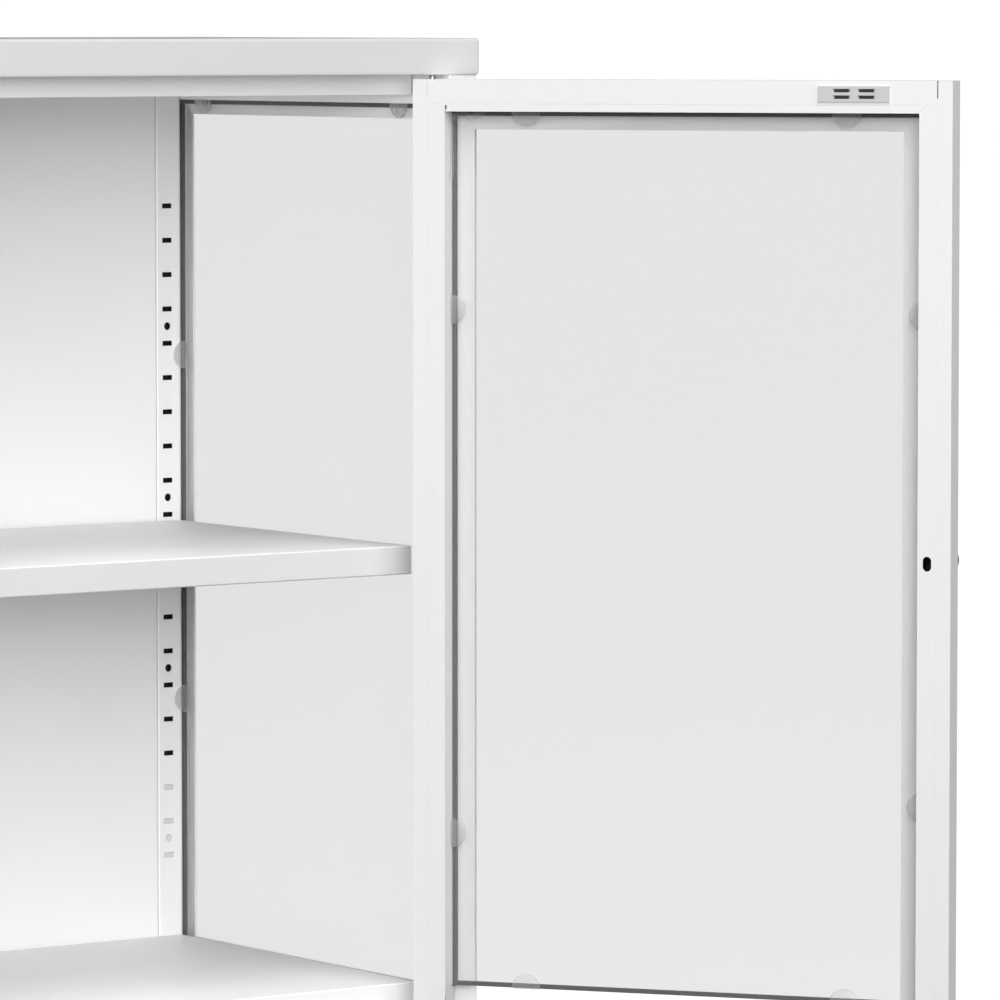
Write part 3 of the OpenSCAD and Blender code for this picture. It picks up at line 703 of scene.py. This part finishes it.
# --- Glass clips ----------------------------------------------------------------------------
# Half discs of clear plastic pressed over the edge of each pane. They are domed, with a thin
# rim and a moulded dimple near the middle.
def half_disc(seat, out, face, radius=10, thick=3, steps=24, rings=8):
    """A half disc from seat towards out, domed along face: h = t (1 - 0.45 (r / R)^4), less
    a ring-shaped dimple of 0.4 mm at a third of the radius."""
    out, face = np.array(out, float), np.array(face, float)
    side = np.cross(face, out)
    angle, share = np.meshgrid(
        np.linspace(-math.pi / 2, math.pi / 2, steps), np.linspace(0, 1, rings)
    )
    across = np.cos(angle)[..., None] * out + np.sin(angle)[..., None] * side
    flat = np.array(seat, float) + radius * share[..., None] * across
    pip = 0.4 * np.exp(-(((share - 0.35) / 0.12) ** 2))
    height = thick * (1 - 0.45 * share**4) - pip
    points = np.concatenate([flat, flat + height[..., None] * face]).reshape(-1, 3)
    top, last = rings * steps, (rings - 1) * steps
    quad = (np.arange(rings - 1)[:, None] * steps + np.arange(steps - 1)).ravel()
    sheet = np.stack([quad, quad + 1, quad + steps + 1, quad + steps], 1)
    rim = last + np.arange(steps - 1)
    edge = np.arange(rings - 1) * steps
    walls = [
        np.stack([side_edge, side_edge + steps, side_edge + steps + top, side_edge + top], 1)
        for side_edge in (edge, edge + steps - 1)
    ]
    around = np.stack([rim, rim + 1, rim + top + 1, rim + top], 1)
    faces = np.concatenate([sheet, sheet + top, around, *walls]).tolist()
    return points, faces


def clear_moulding():
    """Clear plastic, mostly seen by its rim and its sheen."""
    clear = Finish("Clear plastic")
    flow = clear.noise(240.0, 3.0)
    rim = clear.node("LayerWeight", {"Blend": 0.4}, out="Facing")
    return clear.end(
        clear.surface(
            Base_Color=clear.blend(flow, grey(0.7), grey(0.9)),
            Roughness=0.12 + flow * 0.12,
            Alpha=0.12 + rim * 0.4 + flow * 0.08,
            Normal=clear.bump(flow, 0.0001, 0.5),
        )
    )


clear_plastic = clear_moulding()
right, left, inward = (1, 0, 0), (-1, 0, 0), (0, 1, 0)
pane_y = -170.6
door_clips = (
    [half_disc((x, pane_y, 680), down, inward) for x in (78.5, 305.3)]
    + [half_disc((x, pane_y, 76), up, inward) for x in (78.5, 305.3)]
    + [half_disc((24.5, pane_y, z), right, inward) for z in (212, 544)]
    + [half_disc((359.3, pane_y, z), left, inward) for z in (182, 544)]
)
gather("right_clips", door_clips, clear_plastic, "clear_plastic", "right_door_clips")
gather("left_clips", mirrored(door_clips), clear_plastic, "clear_plastic", "left_door_clips")
pane_x = 385
across = [7.25 + s * 123.8 for s in both]
upright = [373 + s * 125.9 for s in both]
side_clips = (
    [half_disc((pane_x, y, 684.6), down, left) for y in across]
    + [half_disc((pane_x, y, 61.4), up, left) for y in across]
    + [half_disc((pane_x, -147.5, z), inward, left) for z in upright]
    + [half_disc((pane_x, 155.5, z), left, inward) for z in upright]
)
gather("right_side_clips", side_clips, clear_plastic, "clear_plastic", "right_side_clips")
gather("left_side_clips", mirrored(side_clips), clear_plastic, "clear_plastic", "left_side_clips")


# --- Glazing strips, catch plates and poles -------------------------------------------------
# A grey strip fills the gap round each pane. Each door has a small moulded catch plate with
# four steel poles set in pockets, coloured near-black as painted shade of the pockets.
small_parts = {
    # The strip round each pane is plain dark grey.
    "seal": (moulded("Dark glazing strip", 0.16, 0.6), "seal_rubber"),
    "magnet": (moulded("Catch plastic", 0.78, 0.35), "catch_plastic"),
    # The poles' near-black is painted shade of their pockets.
    "poles": (pocket_shade_black, "pole_steel"),
}
moulded_edge = 0.5 * MM
for node in list(frame["nodes"]):
    kind = node.rsplit("_", 1)[-1]
    if kind in small_parts:
        finish, slot = small_parts[kind]
        piece = pressed(node + "_moulded", frame["nodes"][node].data.copy(), moulded_edge)
        piece.data.materials.append(finish)
        hang(piece, slot, node)


# --- Loose end of clear film ----------------------------------------------------------------
# A short crumpled end of clear film hangs out of the glazing strip at the top of the open door,
# beside the hinge, and runs a little way down the stile.
def crumpled(x0, x1, z0, z1, rows, columns):
    """A strip from x0, z0 to x1, z1 in mm, with u along it and v down it, both 0 to 1:
    y = -166.5 + 2 sin(6 u + 1.5 v) + 0.9 sin(19 u + 7 v), and z has 0.8 sin(11 u) added."""
    u, v = np.meshgrid(np.linspace(0, 1, columns), np.linspace(0, 1, rows))
    length, drop = (x1 - x0) * u, (z1 - z0) * v
    wave = 2.0 * np.sin(6.0 * u + 1.5 * v) + 0.9 * np.sin(19.0 * u + 7.0 * v)
    points = np.stack(
        [x0 + length, -166.5 + wave, z0 + drop + 0.8 * np.sin(11.0 * u)], 2
    ).reshape(-1, 3)
    start = (np.arange(rows - 1)[:, None] * columns + np.arange(columns - 1)).ravel()
    faces = np.stack([start, start + 1, start + columns + 1, start + columns], 1).tolist()
    return points, faces


loose_film = crumpled(334.5, 358.3, 678.6, 674.6, 5, 40)
edge_film = crumpled(355.9, 358.9, 671.0, 634.0, 30, 4)
points, faces = zip(loose_film, edge_film)
film = plate_object(
    "clear_film",
    swung(np.concatenate(points) * MM, "right_door_clips"),
    faces[0] + [[corner + len(points[0]) for corner in face] for face in faces[1]],
)
film.data.shade_smooth()
film.data.materials.append(clear_plastic)
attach(film, "right_door")
